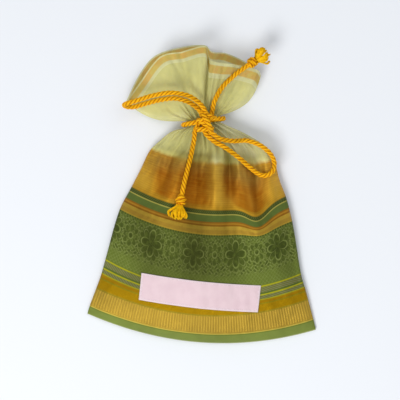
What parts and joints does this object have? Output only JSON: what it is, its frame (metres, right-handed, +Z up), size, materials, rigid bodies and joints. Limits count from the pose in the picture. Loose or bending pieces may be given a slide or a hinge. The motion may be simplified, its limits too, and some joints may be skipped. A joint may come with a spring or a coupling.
{
  "type": "potli bag",
  "caption": "Small drawstring cloth pouch with a sheer gathered mouth, tied shut by a twisted cord with a bow and lying on its back, with a blank sewn label.",
  "frame": {"origin": "middle of the cloth's box, on the surface the bag lies on", "axes": "+X across the bag to its right side, +Y from the bottom seam to the mouth, +Z up out of the front panel"},
  "size_m": [0.171, 0.2234, 0.0324],
  "materials": {
    "cloth": "silky sari cloth with metallic woven bands and a sheer top",
    "label": "satin ribbon, blank",
    "cord": "shiny twisted rayon cord"
  },
  "bodies": {
    "root": {"bag_cloth": "cloth", "label": "label", "cord_neck_wrap": "cord", "cord_bow_knot": "cord", "cord_left_loop": "cord", "cord_right_loop": "cord", "cord_upper_tail": "cord", "cord_lower_tail": "cord", "upper_tail_knot": "cord", "lower_tail_knot": "cord", "upper_tail_tuft": "cord", "lower_tail_tuft": "cord"}
  },
  "joints": []
}
